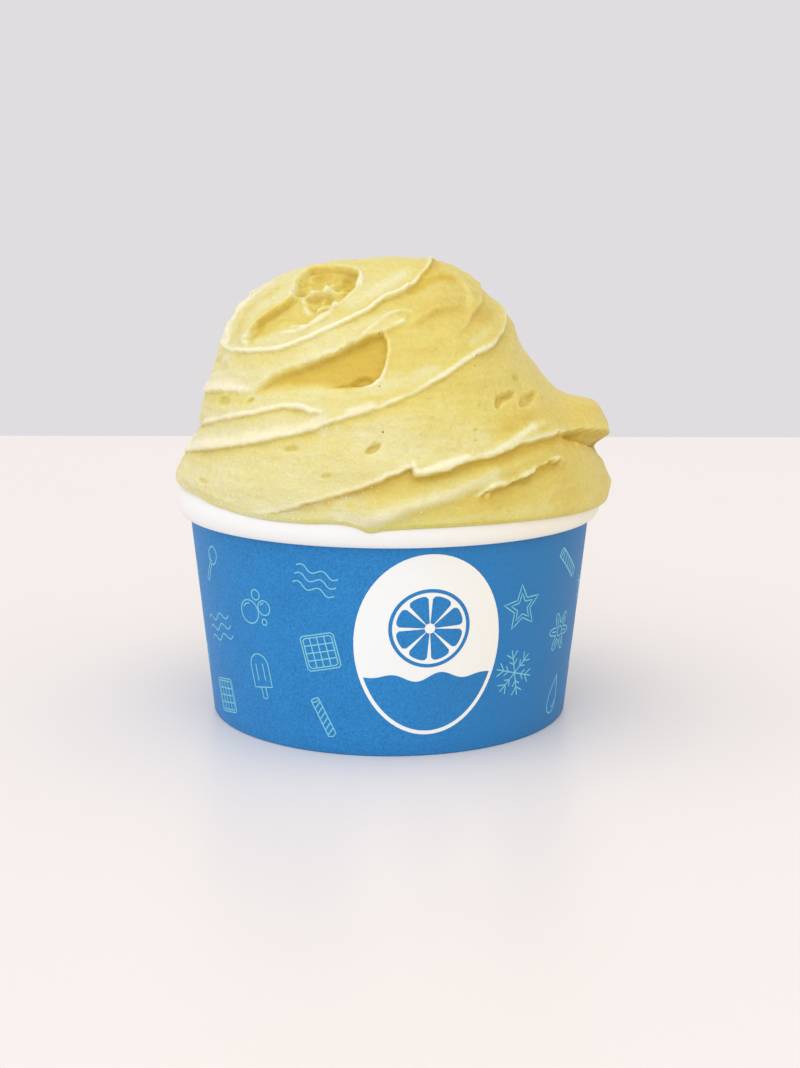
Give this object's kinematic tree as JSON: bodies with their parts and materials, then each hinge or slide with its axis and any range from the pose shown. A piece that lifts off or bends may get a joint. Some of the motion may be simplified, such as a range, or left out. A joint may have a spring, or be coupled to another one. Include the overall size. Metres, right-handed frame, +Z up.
{
  "type": "gelato cup",
  "caption": "Small round paper cup with a rolled rim, filled with pale lemon gelato heaped high above the rim in overlapping spatula strokes.",
  "frame": {"origin": "middle of the cup's footprint, on the surface it stands on", "axes": "+Z up through the cup's middle, -Y towards the decorated front, +X to the right seen from the front"},
  "size_m": [0.0891, 0.0882, 0.0926],
  "materials": {
    "paper": "satin",
    "gelato": "satin"
  },
  "bodies": {
    "root": {"cup": "paper", "gelato": "gelato"}
  },
  "joints": []
}
